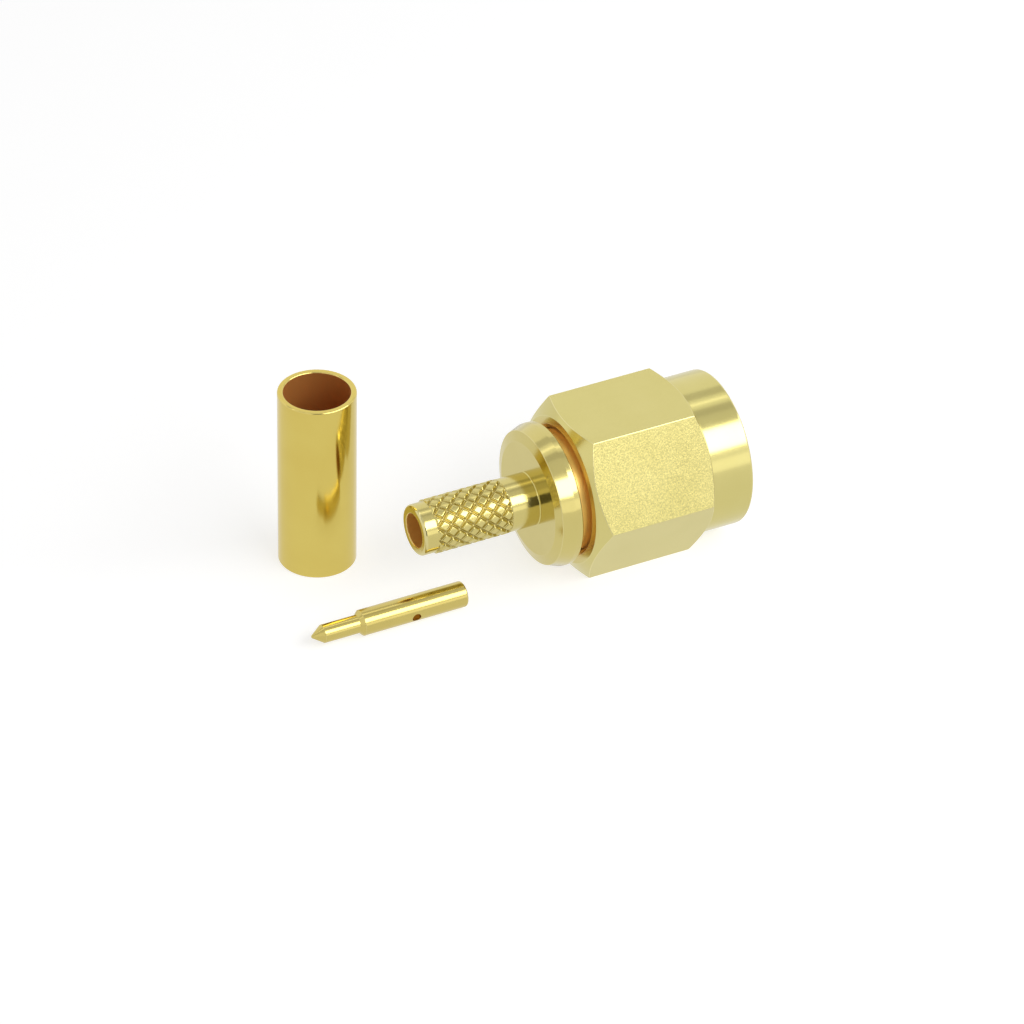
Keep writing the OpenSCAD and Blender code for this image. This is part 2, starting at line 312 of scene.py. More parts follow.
def goldFinish(name):
    # turned gold with fine rings and grained flats; lighter edges, partly wear and partly painted
    # highlight; one flat's darker specks, partly grain and partly painted shade; painted shade in
    # the knurl's grooves; and a warmer inside tone and a faint glow that paint the reflections
    # between the walls
    material, tree = newMaterial(name)
    look = {**goldShared, **goldFinishes[name]}
    spot = addNode(tree, "ShaderNodeTexCoord").outputs["Object"]
    turned, flat, edge, inner, coarseAndShaded, groove, knurled = [
        markNode(tree, mark)
        for mark in ("turned", "flat", "edge", "inner", "coarseAndShaded", "groove", "knurled")]
    clouds = noiseNode(tree, {
        "Vector": spot, "Scale": look["cloudScale"], "Detail": look["cloudDetail"]})
    grain = noiseNode(tree, {
        "Vector": spot, "Scale": look["grainScale"], "Detail": look["grainDetail"],
        "Roughness": look["grainRough"]})
    rings = noiseNode(tree, {
        "W": turned, "Scale": look["ringScale"], "Detail": look["ringDetail"]},
        noise_dimensions="1D")

    tone = mixTones(tree, clouds, look["deep"], look["pale"])
    # lighter edges: partly wear, partly painted highlight
    wearAndSheen = mathNode(tree, "MULTIPLY", edge, look["wearAndSheen"])
    wornAndSheened = mixTones(tree, wearAndSheen, tone, look["wornSheenTone"])
    # painted reflection: inner faces take the warmer inside tone
    reflectionTinted = mixTones(tree, inner, wornAndSheened, look["inside"])
    speckle = addNode(tree, "ShaderNodeMapRange", {
        "Value": grain, "From Min": look["speckleLow"], "From Max": look["speckleHigh"],
        "To Min": look["speckleShare"], "To Max": 0.0}).outputs[0]
    # one flat's specks darken, partly grain and partly painted shade
    specked = mathNode(tree, "MULTIPLY", coarseAndShaded, speckle)
    dulled = mixTones(tree, specked, reflectionTinted, look["coarseShadeTone"])
    # painted shade: the knurl's grooves darken towards the groove tone
    grooveShade = mathNode(tree, "MULTIPLY", groove, look["grooveShare"])
    grooveShaded = mixTones(tree, grooveShade, dulled, look["grooveShadeTone"])

    outer = mixValues(tree, flat, look["smooth"], look["satin"])
    rough = mixValues(tree, inner, outer, look["insideRough"])
    rough = mathNode(tree, "MULTIPLY_ADD", groove, look["grooveRough"], rough)
    rough = mathNode(tree, "MULTIPLY_ADD", knurled, look["knurlRough"], rough)
    rough = mathNode(tree, "MULTIPLY_ADD", clouds, look["cloudRough"], rough)
    smoother = mathNode(tree, "MULTIPLY", edge, look["edgeSmooth"])

    deeper = mathNode(tree, "MULTIPLY_ADD", coarseAndShaded, look["grainDepth"], look["grainDepth"])
    ringHeight = mathNode(tree, "MULTIPLY", rings, look["ringDepth"])
    grainHeight = mathNode(tree, "MULTIPLY", grain, deeper)
    height = mixValues(tree, flat, ringHeight, grainHeight)

    # the emission is painted light: inner faces glow in the inside tone for the reflections between
    # the walls
    shader = addNode(tree, "ShaderNodeBsdfPrincipled", {
        "Base Color": grooveShaded, "Normal": bumpNode(tree, height),
        "Metallic": mathNode(tree, "MULTIPLY_ADD", inner, -look["insideMatt"], 1.0),
        "Roughness": mathNode(tree, "SUBTRACT", rough, smoother),
        "Emission Color": look["inside"],
        "Emission Strength": mathNode(tree, "MULTIPLY", inner, look["insideGlow"])})
    addNode(tree, "ShaderNodeOutputMaterial", {"Surface": shader.outputs[0]})
    return material


plainFinishes = {
    "springBronze": {
        "pale": (0.62, 0.46, 0.24, 1), "deep": (0.50, 0.36, 0.17, 1), "roughness": 0.22,
        "grainScale": 9000.0, "grainDepth": 1.5e-6, "metallic": 1.0},
    "gasketRubber": {
        "pale": (0.46, 0.05, 0.03, 1), "deep": (0.36, 0.035, 0.022, 1), "roughness": 0.5,
        "grainScale": 5200.0, "grainDepth": 6e-6, "metallic": 0.0},
    "fluoroplastic": {
        "pale": (0.86, 0.86, 0.83, 1), "deep": (0.78, 0.78, 0.74, 1), "roughness": 0.38,
        "grainScale": 4200.0, "grainDepth": 4e-6, "metallic": 0.0},
}
plainShared = {
    "cloudScale": 900.0, "cloudDetail": 4.0, "grainDetail": 3.0, "grainRough": 0.15,
    "wearAndSheen": 0.5, "wornSheenGain": 0.9, "wornSheenLift": 0.15,
}


def plainFinish(name):
    # one tone with clouds, a fine grain and lighter edges that are partly wear and partly painted
    # highlight
    material, tree = newMaterial(name)
    look = {**plainShared, **plainFinishes[name]}
    spot = addNode(tree, "ShaderNodeTexCoord").outputs["Object"]
    clouds = noiseNode(tree, {
        "Vector": spot, "Scale": look["cloudScale"], "Detail": look["cloudDetail"]})
    grain = noiseNode(tree, {
        "Vector": spot, "Scale": look["grainScale"], "Detail": look["grainDetail"]})
    tone = mixTones(tree, clouds, look["deep"], look["pale"])
    lighter = [min(1.0, look["wornSheenLift"] + look["wornSheenGain"] * c) for c in look["pale"][:3]]
    # lighter edges: partly wear, partly painted highlight
    wearAndSheen = mathNode(tree, "MULTIPLY", markNode(tree, "edge"), look["wearAndSheen"])
    wornAndSheened = mixTones(tree, wearAndSheen, tone, (*lighter, 1))
    height = mathNode(tree, "MULTIPLY", grain, look["grainDepth"])
    rough = mathNode(tree, "MULTIPLY_ADD", grain, look["grainRough"], look["roughness"])
    shader = addNode(tree, "ShaderNodeBsdfPrincipled", {
        "Base Color": wornAndSheened, "Metallic": look["metallic"], "Normal": bumpNode(tree, height),
        "Roughness": rough})
    addNode(tree, "ShaderNodeOutputMaterial", {"Surface": shader.outputs[0]})
    return material


finishes = {name: goldFinish(name) for name in goldFinishes}
finishes.update({name: plainFinish(name) for name in plainFinishes})
print("scene: finishes made")


# Sizes that more than one piece reads

sharedSizes = {"neckRadius": 3.05 * mm, "ringWidth": 0.8 * mm}
nutLow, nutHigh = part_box("coupling_nut")
ringLow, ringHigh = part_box("snap_ring")
bodyLow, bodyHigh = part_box("connector_body")
threadRadius = mountRadius("coupling_thread")


# Coupling nut

nutSizes = {
    "hexLength": 6.45 * mm, "collarDrop": 0.07 * mm, "collarRound": 0.12 * mm,
    "faceDrop": 0.25 * mm, "chamfer": math.tan(math.radians(30)), "cornerRound": 0.07 * mm,
    "edge": 0.045 * mm, "innerEdge": 0.02 * mm, "leadIn": 0.22 * mm,
    "ringDepth": 0.08 * mm, "ringSide": 0.02 * mm, "neckClear": 0.08 * mm,
    "flatSteps": 28, "cornerSteps": 5, "roundSteps": 5, "cornerFlatness": 0.4,
    # the rear lead-in of the nut takes a share of the inside's painted reflection and glow
    "rearReflectionShare": 0.3, "coarseShadedSide": 1, "sharpAngle": math.radians(35),
    "threadLength": 3.9 * mm, "threadDepth": 0.335 * mm, "threadPitch": 0.7056 * mm,
    "threadRear": 0.25 * mm, "threadFront": 0.34 * mm, "threadRoot": 0.86,
    "threadCrest": 0.16, "threadSteps": 96,
}


def nutCorners(reach):
    # the section of the nut at a place where the hexagon reaches this far out
    s = nutSizes
    edge, small = s["edge"], s["innerEdge"]
    bore = sharedSizes["neckRadius"] + s["neckClear"]
    groove = ringHigh.z + s["ringDepth"]
    ringX0, ringX1 = ringLow.x - s["ringSide"], ringHigh.x + s["ringSide"]
    hexEnd = nutLow.x + s["hexLength"]
    threadX = nutHigh.x - s["threadLength"]
    faceR, collarR = nutHigh.z - s["faceDrop"], nutHigh.z - s["collarDrop"]
    return [
        (nutLow.x, bore + s["leadIn"], edge), (nutLow.x + s["leadIn"], bore, small),
        (ringX0, bore, small), (ringX0, groove, small), (ringX1, groove, small),
        (ringX1, bore, small), (threadX, bore, small / 2), (threadX, threadRadius, small / 2),
        (nutHigh.x - s["leadIn"], threadRadius, small),
        (nutHigh.x, threadRadius + s["leadIn"], edge),
        (nutHigh.x, collarR, s["collarRound"]), (hexEnd, collarR, edge / 2),
        (hexEnd - (reach - collarR) * s["chamfer"], reach, edge),
        (nutLow.x + (reach - faceR) * s["chamfer"], reach, edge),
        (nutLow.x, faceR, edge),
    ]


def nutSpots(side):
    # (place, normal, flatness) along one flat of the hexagon and round the corner after it
    s, across = nutSizes, nutHigh.z
    half = (across - s["cornerRound"]) * math.tan(math.pi / 6)
    beta = math.pi / 3 * side
    facing = acrossX(beta)
    along = Vector((0, -math.cos(beta), -math.sin(beta)))
    spots = [(facing * across + along * (half * (2 * k / s["flatSteps"] - 1)), facing, 1.0)
             for k in range(s["flatSteps"] + 1)]
    centre = facing * (across - s["cornerRound"]) + along * half
    for k in range(1, s["cornerSteps"]):
        leaning = acrossX(beta + math.pi / 3 * k / s["cornerSteps"])
        spots.append((centre + leaning * s["cornerRound"], leaning, s["cornerFlatness"]))
    return spots


def nutColumn(spot, leaning, flatness, isCoarseShaded):
    # the corners 12 and 13 of the section bound the flat, and those before 9 lie inside
    s = nutSizes
    steps, perCorner = s["roundSteps"], s["roundSteps"] + 1
    flatStart, flatEnd, boreEnd = 12 * perCorner, 14 * perCorner, 9 * perCorner
    reach = spot.length
    out = spot / reach
    outline = roundCorners(nutCorners(reach), steps)
    column, turned = [], 0.0
    for i, (x, radius, normal, edge) in enumerate(outline):
        turned += math.dist((x, radius), outline[i - 1][:2]) if i else 0
        flat = 0.0
        if flatStart <= i < flatEnd:
            share = (i - flatStart) % perCorner / steps
            flat = share if i < flatStart + perCorner else 1 - share
        toward = out.lerp(leaning, flat).normalized()
        # the rear lead-in is partly inner, so it takes some of the painted reflection and glow
        column.append((
            Vector((x, 0, 0)) + out * radius, Vector((normal.x, 0, 0)) + toward * normal.y, {
                "turned": turned, "flat": flat, "edge": max(edge, (1 - flatness) * flat),
                "inner": s["rearReflectionShare"] if i < perCorner else 1.0 if i < boreEnd else 0.0,
                "coarseAndShaded": flat * flatness if isCoarseShaded else 0.0}))
    return column


def threadTree():
    # a right-hand ridge that winds along X on the wall of a bore, cut off square at both ends
    tree, source, ends = newTree("couplingThread", [
        ("Start", "Float"), ("Pitch", "Float"), ("Turns", "Float"), ("Wall Radius", "Float"),
        ("Depth", "Float"), ("Root Share", "Float"), ("Crest Share", "Float"),
        ("Steps a Turn", "Int"), ("Material", "Material")])
    get = source.outputs
    spiral = addNode(tree, "GeometryNodeCurveSpiral", {
        "Resolution": get["Steps a Turn"], "Rotations": get["Turns"],
        "Start Radius": get["Wall Radius"], "End Radius": get["Wall Radius"],
        "Height": mathNode(tree, "MULTIPLY", get["Pitch"], get["Turns"]), "Reverse": True})
    upright = addNode(tree, "GeometryNodeSetCurveNormal", {
        "Curve": spiral.outputs["Curve"]}, mode="Z_UP")
    section = addNode(tree, "GeometryNodeCurvePrimitiveQuadrilateral", {
        "Bottom Width": mathNode(tree, "MULTIPLY", get["Pitch"], get["Root Share"]),
        "Top Width": mathNode(tree, "MULTIPLY", get["Pitch"], get["Crest Share"]),
        "Height": get["Depth"], "Offset": 0.0}, mode="TRAPEZOID")
    lift = addNode(tree, "ShaderNodeCombineXYZ", {
        "Y": mathNode(tree, "MULTIPLY", get["Depth"], 0.5)})
    seated = addNode(tree, "GeometryNodeTransform", {
        "Geometry": section.outputs["Curve"], "Translation": lift.outputs[0]})
    turnedIn = addNode(tree, "GeometryNodeTransform", {
        "Geometry": seated.outputs["Geometry"], "Rotation": (0, 0, quarterTurn)})
    swept = addNode(tree, "GeometryNodeCurveToMesh", {
        "Curve": upright.outputs["Curve"], "Profile Curve": turnedIn.outputs["Geometry"],
        "Fill Caps": True})
    shift = addNode(tree, "ShaderNodeCombineXYZ", {"X": get["Start"]})
    lying = addNode(tree, "GeometryNodeTransform", {
        "Geometry": swept.outputs["Mesh"], "Rotation": (0, quarterTurn, 0),
        "Translation": shift.outputs[0]})
    closeTree(tree, source, ends, lying.outputs["Geometry"])
    return tree


def makeThread():
    s = nutSizes
    start = nutHigh.x - s["threadLength"] + s["threadRear"]
    holder = newObject("threadHolder", bpy.data.meshes.new("threadHolder"))
    mesh = applyTree(holder, threadTree(), {
        "Start": start, "Pitch": s["threadPitch"],
        "Turns": (nutHigh.x - s["threadFront"] - start) / s["threadPitch"],
        "Wall Radius": threadRadius + hair, "Depth": s["threadDepth"] + hair,
        "Root Share": s["threadRoot"], "Crest Share": s["threadCrest"],
        "Steps a Turn": s["threadSteps"], "Material": finishes["nutGold"]})
    bpy.data.objects.remove(holder)
    radii = [math.hypot(v.co.y, v.co.z) / mm for v in mesh.vertices]
    # the section has four points, so these two are the same corner two steps apart
    first, later = mesh.vertices[0].co, mesh.vertices[8].co
    winding = (first.y * later.z - first.z * later.y) * (later.x - first.x)
    print("scene: thread ridge made, radii from %.3f to %.3f mm, right-hand %s" % (
        min(radii), max(radii), winding > 0))
    return mesh


def joinMesh(piece, normals, extra, sharpAngle):
    # adds the faces of another mesh to a piece; they keep their own normals and count as inner
    own = piece.data
    start, added = len(own.vertices), len(extra.vertices)
    marks = {a.name: [v.value for v in a.data] for a in own.attributes
             if a.data_type == "FLOAT" and a.domain == "POINT"}
    places = [v.co.copy() for v in own.vertices] + [v.co.copy() for v in extra.vertices]
    faces = [tuple(f.vertices) for f in own.polygons]
    faces += [tuple(start + v for v in f.vertices) for f in extra.polygons]
    mesh = bpy.data.meshes.new(piece.name)
    mesh.from_pydata(places, [], faces)
    mesh.update()
    for name, values in marks.items():
        addMark(mesh, name, values + [1.0 if name == "inner" else 0.0] * added)
    mesh.shade_smooth()
    piece.data = mesh
    mesh.set_sharp_from_angle(angle=sharpAngle)
    return normals + [Vector()] * added


def makeNut():
    # one flat is coarse: deeper grain and darker specks, partly painted shade
    columns = [nutColumn(*spot, side == nutSizes["coarseShadedSide"])
               for side in range(6) for spot in nutSpots(side)]
    piece, normals = skinMesh("coupling_nut_shell", columns, True)
    return piece, joinMesh(piece, normals, makeThread(), nutSizes["sharpAngle"])


nut, nutNormals = makeNut()
finishPiece(nut, "nut", "coupling_nut", finishes["nutGold"], nutNormals)
print("scene: coupling nut made,", len(nut.data.polygons), "faces")


# Connector body with its knurled tail

bodySizes = {
    "nutGap": 0.58 * mm, "flangeLength": 1.19 * mm, "rimFrontRound": 0.1 * mm,
    "rimStraight": 0.42 * mm, "rimBend": 0.5 * mm, "rimRear": (0.16 * mm, 0.22 * mm),
    "rimRearRound": 0.05 * mm, "rimLean": 0.15, "faceEdge": 0.75 * mm, "faceRound": 0.04 * mm,
    "footRound": 0.05 * mm, "tailRadius": 1.345 * mm, "bandDrop": 0.055 * mm,
    "bandLength": 0.72 * mm, "bandStep": 0.02 * mm, "tailRound": 0.16 * mm,
    "knurlLength": 4 * mm, "knurlStep": 0.03 * mm, "knurlStepRound": 0.012 * mm,
    "knurlRows": 130, "tubeLength": 2 * mm, "socketRadius": 2.06 * mm,
    "socketLength": 5.5 * mm, "mouthRound": 0.06 * mm, "edge": 0.03 * mm,
    "ringPlay": 0.12 * mm, "grooveFloor": 0.08 * mm, "boreReach": 0.02 * mm,
    "neckReach": 0.04 * mm, "sides": 288, "roundSteps": 6,
    "knurl": {
        "Diamonds Round": 12, "Diamond Length": 0.757 * mm, "Groove Radius": 1.215 * mm,
        "Groove Depth": 0.15 * mm, "Slope": 0.42, "Run Out": 0.05 * mm},
}
flangeX1 = nutLow.x - bodySizes["nutGap"]


def bodyCorners():
    s = bodySizes
    tailX, edge, neck = bodyLow.x, s["edge"], sharedSizes["neckRadius"]
    flangeX0 = flangeX1 - s["flangeLength"]
    knurlX0 = tailX + s["bandLength"]
    knurlX1 = knurlX0 + s["knurlLength"]
    tail, band = s["tailRadius"], s["tailRadius"] - s["bandDrop"]
    bore, tube, flange = mountRadius("tail_bore"), mountRadius("outer_contact"), bodyHigh.z
    ringX0, ringX1 = ringLow.x - s["ringPlay"], ringHigh.x + s["ringPlay"]
    groove = ringHigh.z - sharedSizes["ringWidth"] - s["grooveFloor"]
    rearX, rearR = flangeX0 + s["rimRear"][0], flange - s["rimRear"][1]
    rows = s["knurlRows"]
    knurled = [(knurlX1 - (knurlX1 - knurlX0) * k / rows, band, 0) for k in range(rows + 1)]
    corners = [
        (tailX, bore, s["mouthRound"]), (-s["socketLength"], bore, edge),
        (-s["socketLength"], s["socketRadius"], edge), (0, s["socketRadius"], edge),
        (0, tube, s["mouthRound"]), (-s["tubeLength"], tube, edge),
        (-s["tubeLength"], neck, edge), (ringX1, neck, edge), (ringX1, groove, edge),
        (ringX0, groove, edge), (ringX0, neck, edge), (flangeX1, neck, edge),
        (flangeX1, flange, s["rimFrontRound"]), (flangeX1 - s["rimStraight"], flange, s["rimBend"]),
        (rearX, rearR, s["rimRearRound"]), (flangeX0, flange - s["faceEdge"], s["faceRound"]),
        (flangeX0, tail, s["footRound"]), (knurlX1 + s["knurlStep"], tail, s["knurlStepRound"]),
    ]
    # a plain ring beside each end of the knurl keeps the reflections straight up to it
    ending = [(knurlX0 - s["bandStep"], band, 0), (tailX, band, s["tailRound"])]
    return corners, knurled, ending


def calmRim(point):
    # the rim is burnished: it shines as one straight band although its rear part falls away
    s = bodySizes
    x, radius, normal, edge = point
    onRim = radius > bodyHigh.z - s["rimRear"][1] - hair and normal.y > 0.9
    if onRim and x < flangeX1 - s["rimFrontRound"] - hair and normal.x < 0:
        return x, radius, Vector((-s["rimLean"], 1)).normalized(), 0.0
    return point


def insideBody(x, radius):
    # bores, the neck under the nut and the foot of the flange's front face
    s = bodySizes
    inBore = x < -s["edge"] and radius < s["socketRadius"] + s["boreReach"] and (
        x > -s["socketLength"] or radius < mountRadius("tail_bore") + s["boreReach"])
    onNeck = x > flangeX1 - hair and radius < sharedSizes["neckRadius"] + s["neckReach"]
    return inBore or (onNeck and x < -s["tubeLength"] - s["neckReach"])


def knurlTree():
    # presses crossed grooves into the rows marked as knurled
    tree, source, ends = newTree("tailKnurl", [
        ("Start", "Float"), ("Length", "Float"), ("Diamonds Round", "Int"),
        ("Diamond Length", "Float"), ("Groove Radius", "Float"), ("Groove Depth", "Float"),
        ("Slope", "Float"), ("Run Out", "Float"), ("Rear Radius", "Float"),
        ("Front Radius", "Float"), ("Material", "Material")])
    get = source.outputs
    place = addNode(tree, "GeometryNodeInputPosition").outputs[0]
    parts = addNode(tree, "ShaderNodeSeparateXYZ", {0: place}).outputs
    angle = mathNode(tree, "ARCTAN2", parts["Y"], mathNode(tree, "MULTIPLY", parts["Z"], -1.0))
    way = mathNode(tree, "SUBTRACT", parts["X"], get["Start"])
    turns = mathNode(tree, "MULTIPLY", mathNode(tree, "DIVIDE", angle, 2 * math.pi),
                     get["Diamonds Round"])
    steps = mathNode(tree, "DIVIDE", way, get["Diamond Length"])
    slopes = []
    for operation in ("ADD", "SUBTRACT"):
        line = mathNode(tree, operation, turns, steps)
        offset = mathNode(tree, "PINGPONG", line, 0.5)
        ramp = addNode(tree, "ShaderNodeMapRange", {
            "Value": offset, "From Max": mathNode(tree, "MULTIPLY", get["Slope"], 0.5)},
            interpolation_type="SMOOTHSTEP").outputs[0]
        slopes.append(ramp)
    height = mathNode(tree, "MINIMUM", *slopes)
    cut = mathNode(tree, "MULTIPLY_ADD", height, get["Groove Depth"], get["Groove Radius"])
    front = mathNode(tree, "SUBTRACT", get["Length"], way)
    rearShare = mathNode(tree, "DIVIDE", way, get["Run Out"], use_clamp=True)
    frontShare = mathNode(tree, "DIVIDE", front, get["Run Out"], use_clamp=True)
    rear = mixValues(tree, rearShare, get["Rear Radius"], cut)
    radius = mixValues(tree, frontShare, get["Front Radius"], rear)
    radial = addNode(tree, "ShaderNodeVectorMath", {
        0: place, 1: (0, 1, 1)}, operation="MULTIPLY").outputs[0]
    unit = addNode(tree, "ShaderNodeVectorMath", {0: radial}, operation="NORMALIZE").outputs[0]
    around = addNode(tree, "ShaderNodeVectorMath", {
        0: unit, "Scale": radius}, operation="SCALE").outputs[0]
    axis = addNode(tree, "ShaderNodeCombineXYZ", {"X": parts["X"]}).outputs[0]
    pressed = addNode(tree, "ShaderNodeVectorMath", {
        0: around, 1: axis}, operation="ADD").outputs[0]
    marked = addNode(tree, "GeometryNodeInputNamedAttribute", {"Name": "knurled"},
                     data_type="FLOAT").outputs["Attribute"]
    moved = addNode(tree, "GeometryNodeSetPosition", {
        "Geometry": get["Geometry"], "Position": pressed,
        "Selection": mathNode(tree, "GREATER_THAN", marked, 0.5)})
    # how far a point sits down in a groove; the finish paints shade there
    sunk = mathNode(tree, "MULTIPLY", marked, mathNode(tree, "SUBTRACT", 1.0, height))
    shaded = addNode(tree, "GeometryNodeStoreNamedAttribute", {
        "Geometry": moved.outputs["Geometry"], "Name": "groove", "Value": sunk},
        data_type="FLOAT")
    closeTree(tree, source, ends, shaded.outputs["Geometry"])
    return tree


def makeBody():
    s = bodySizes
    corners, knurled, ending = bodyCorners()
    band = knurled[0][1]
    outline = [calmRim(point)
               for point in roundCorners(corners + knurled + ending, s["roundSteps"])]
    rows = {round(x, 9) for x, _, _ in knurled}
    marks = [1.0 if round(x, 9) in rows and abs(radius - band) < 1e-9 else 0.0
             for x, radius, _, _ in outline]
    piece, normals = lathePiece("connector_body_shell", outline, s["sides"], marks=marks,
                                inner=insideBody)
    mesh = applyTree(piece, knurlTree(), {
        **s["knurl"], "Start": bodyLow.x + s["bandLength"], "Length": s["knurlLength"],
        "Rear Radius": band, "Front Radius": s["tailRadius"],
        "Material": finishes["bodyGold"]})
    pressed = [v.value > 0.5 for v in mesh.attributes["knurled"].data]
    return piece, [Vector() if isPressed else n for isPressed, n in zip(pressed, normals)]


body, bodyNormals = makeBody()
finishPiece(body, "plug_body", "connector_body", finishes["bodyGold"], bodyNormals)
print("scene: body made,", len(body.data.polygons), "faces")


# Snap ring, gasket and dielectric

snapRingSizes = {
    "opening": math.radians(40), "edge": 0.06 * mm, "steps": 150, "roundSteps": 4,
    "sharpAngle": math.radians(40),
}


def makeSnapRing():
    # a bar swept round the axis, open at the bottom
    s = snapRingSizes
    section = ringOutline(ringLow.x, ringHigh.x, ringHigh.z - sharedSizes["ringWidth"],
                          ringHigh.z, s["edge"], s["roundSteps"])
    count, size, half = s["steps"], len(section), s["opening"] / 2
    places = []
    for c in range(count + 1):
        angle = half + (2 * math.pi - 2 * half) * c / count + math.pi
        places += [(x, -radius * math.sin(angle), radius * math.cos(angle))
                   for x, radius, _, _ in section]
    faces = [(c * size + i, (c + 1) * size + i, (c + 1) * size + k, c * size + k)
             for c in range(count) for i in range(size) for k in [(i + 1) % size]]
    faces.append(tuple(range(size)))
    faces.append(tuple(range(count * size + size - 1, count * size - 1, -1)))
    mesh = bpy.data.meshes.new("snap_ring_shell")
    mesh.from_pydata(places, [], faces)
    mesh.update()
    mesh.shade_smooth()
    mesh.set_sharp_from_angle(angle=s["sharpAngle"])
    return newObject("snap_ring_shell", mesh)


finishPiece(makeSnapRing(), "retainer", "snap_ring", finishes["springBronze"])

gasketSizes = {"seatGap": 0.02 * mm, "edge": 0.14 * mm, "sides": 128, "roundSteps": 6}


def makeGasket():
    s = gasketSizes
    low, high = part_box("gasket")
    outline = ringOutline(low.x, high.x, mountRadius("outer_contact") + s["seatGap"], high.z,
                          s["edge"], s["roundSteps"])
    return lathePiece("gasket_shell", outline, s["sides"])


gasket, gasketNormals = makeGasket()
finishPiece(gasket, "plug_body", "gasket", finishes["gasketRubber"], gasketNormals)

beadSizes = {
    "bore": 0.67 * mm, "catchBore": 0.48 * mm, "catchLength": 0.75 * mm, "edge": 0.03 * mm,
    "sides": 128, "roundSteps": 4,
}


def makeBead():
    s = beadSizes
    low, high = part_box("dielectric")
    edge, catchX = s["edge"], high.x - s["catchLength"]
    outline = roundCorners([
        (low.x, s["bore"], edge), (catchX, s["bore"], edge), (catchX, s["catchBore"], edge),
        (high.x, s["catchBore"], edge), (high.x, high.z, edge), (low.x, high.z, edge)],
        s["roundSteps"])
    return lathePiece("dielectric_shell", outline, s["sides"])


bead, beadNormals = makeBead()
finishPiece(bead, "plug_body", "dielectric", finishes["fluoroplastic"], beadNormals)
print("scene: snap ring, gasket and dielectric made")


# Loose contact

contactSizes = {
    "barrelLength": 5.55 * mm, "barrelEdge": 0.04 * mm, "step": 0.2 * mm,
    "pinRadius": 0.46 * mm, "pinLength": 1.86 * mm, "pinEdge": 0.03 * mm,
    "coneEdge": 0.05 * mm, "pointRadius": 0.06 * mm, "mouthRound": 0.12 * mm,
    "boreDepth": 3.4 * mm, "peepSet": 2.83 * mm, "peepRadius": 0.23 * mm,
    "peepTurn": math.radians(104), "peepSides": 40, "sides": 128, "roundSteps": 5,
}
contactLow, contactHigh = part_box("center_contact")


def peepDrill(middle, barrel):
    # a rod from the axis outward, which cuts the inspection hole
    s = contactSizes
    sides = s["peepSides"]
    facing = acrossX(s["peepTurn"])
    side = facing.cross(Vector((1, 0, 0)))
    spot = middle - Vector((s["peepSet"], 0, 0))
    ring = [(Vector((math.cos(a), 0, 0)) + side * math.sin(a)) * s["peepRadius"]
            for a in (2 * math.pi * k / sides for k in range(sides))]
    places = [spot + p for p in ring] + [spot + facing * barrel * 2 + p for p in ring]
    faces = [tuple(range(sides - 1, -1, -1)), tuple(range(sides, 2 * sides))]
    faces += [(k, (k + 1) % sides, sides + (k + 1) % sides, sides + k) for k in range(sides)]
    mesh = bpy.data.meshes.new("peepDrill")
    mesh.from_pydata(places, [], faces)
    # the hole's walls count as inner, so they take the inside's painted reflection and glow
    addMark(mesh, "inner", [1.0] * len(places))
    addMark(mesh, "turned", [0.0] * len(places))
    return newObject("peepDrill", mesh)


def makeContact():
    s = contactSizes
    barrel = (contactHigh.y - contactLow.y) / 2
    wire = mountRadius("wire_bore")
    length = contactHigh.x - contactLow.x
    pinX = s["barrelLength"] + s["step"]
    outline = roundCorners([
        (length, 0, 1), (length, s["pointRadius"], s["pinEdge"]),
        (pinX + s["pinLength"], s["pinRadius"], s["coneEdge"]),
        (pinX, s["pinRadius"], s["pinEdge"]), (s["barrelLength"], barrel, s["barrelEdge"]),
        (0, barrel, s["mouthRound"]), (0, wire, s["barrelEdge"]),
        (s["boreDepth"], wire, 0), (s["boreDepth"], 0, -1)], s["roundSteps"], closed=False)
    middle = Vector((contactHigh.x, (contactLow.y + contactHigh.y) / 2, contactLow.z + barrel))
    place = Matrix.Translation(middle) @ Matrix.Rotation(math.pi, 4, "Z")
    piece, normals = lathePiece(
        "center_contact_shell", outline, s["sides"], closed=False, place=place,
        poles=(0, len(outline) - 1),
        inner=lambda x, radius: radius < wire + hair and x < length / 2)
    setNormals(piece, normals)
    drill = peepDrill(middle, barrel)
    cut = piece.modifiers.new("peep", "BOOLEAN")
    cut.object, cut.operation, cut.solver = drill, "DIFFERENCE", "EXACT"
    keepModifier(piece, cut)
    bpy.data.objects.remove(drill)
    return piece


contact = makeContact()
finishPiece(contact, "plug_body", "center_contact", finishes["contactGold"])
print("scene: loose contact made,", len(contact.data.polygons), "faces")


# Loose crimp ferrule

ferruleSizes = {"edge": 0.08 * mm, "sides": 192, "roundSteps": 6}


def makeFerrule():
    s = ferruleSizes
    low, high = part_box("crimp_ferrule")
    inner, outer = mountRadius("ferrule_bore"), (high.x - low.x) / 2
    outline = ringOutline(0, high.z - low.z, inner, outer, s["edge"], s["roundSteps"])
    middle = (low + high) / 2
    place = Matrix.Translation((middle.x, middle.y, low.z))
    place = place @ Matrix.Rotation(-math.pi / 2, 4, "Y")
    return lathePiece("crimp_ferrule_shell", outline, s["sides"], place=place,
                      inner=lambda x, radius: radius < inner + hair)


ferrule, ferruleNormals = makeFerrule()
finishPiece(ferrule, "plug_body", "crimp_ferrule", finishes["ferruleGold"], ferruleNormals)
print("scene: ferrule made")


# Floor, light and camera

